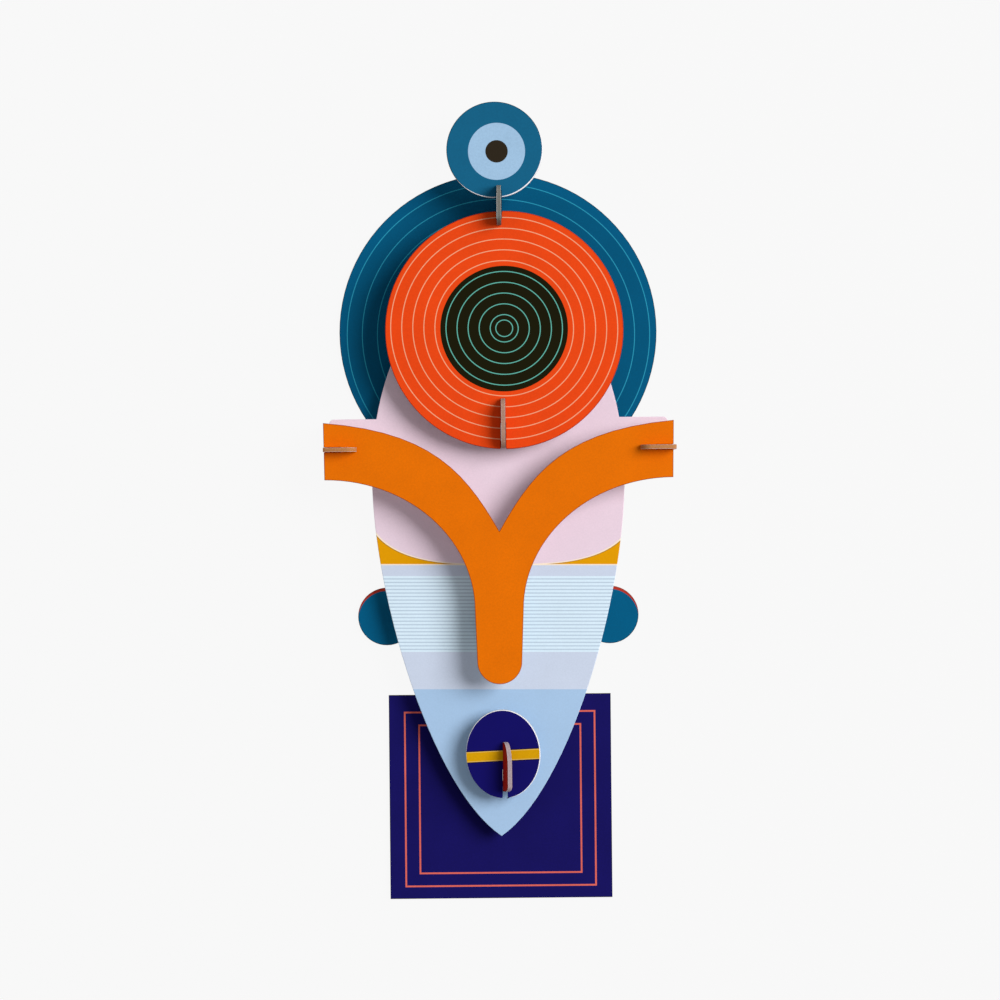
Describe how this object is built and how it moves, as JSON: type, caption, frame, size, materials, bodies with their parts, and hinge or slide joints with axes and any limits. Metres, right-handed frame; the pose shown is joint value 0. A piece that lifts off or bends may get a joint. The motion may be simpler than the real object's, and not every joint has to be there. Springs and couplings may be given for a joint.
{
  "type": "paper animal mask",
  "caption": "Flat wall mask of slotted printed cardboard in layers, with a round halo, a pointed face, brow, nose, ears and mouth.",
  "frame": {"origin": "middle of the mask's outline, on the wall side, where the rear boards lie", "axes": "+X to the right as seen from the front, +Y up the mask, +Z out from the wall"},
  "size_m": [0.154, 0.3496, 0.0295],
  "materials": {
    "teal_print": "matt printed paper on board",
    "navy_print": "matt printed paper on board",
    "ear_print": "matt printed paper on board",
    "face_print": "matt printed paper on board",
    "forehead_print": "matt printed paper on board",
    "crown_print": "matt printed paper on board",
    "mouth_print": "matt printed paper on board",
    "brow_print": "matt printed paper on board",
    "connector_board": "bare cut edges, printed sides",
    "red_board": "red printed sides, bare cut edges"
  },
  "bodies": {
    "root": {"halo_disc": "teal_print", "neck_plate": "navy_print", "ear_bar": "ear_print", "face_plate": "face_print", "forehead_disc": "forehead_print", "crown_disc": "crown_print", "mouth_disc": "mouth_print", "brow_nose": "brow_print", "forehead_connector": "connector_board", "crown_connector": "connector_board", "mouth_connector": "red_board", "ear_connector": "connector_board", "brow_tab_left": "connector_board", "brow_tab_right": "connector_board"}
  },
  "joints": []
}
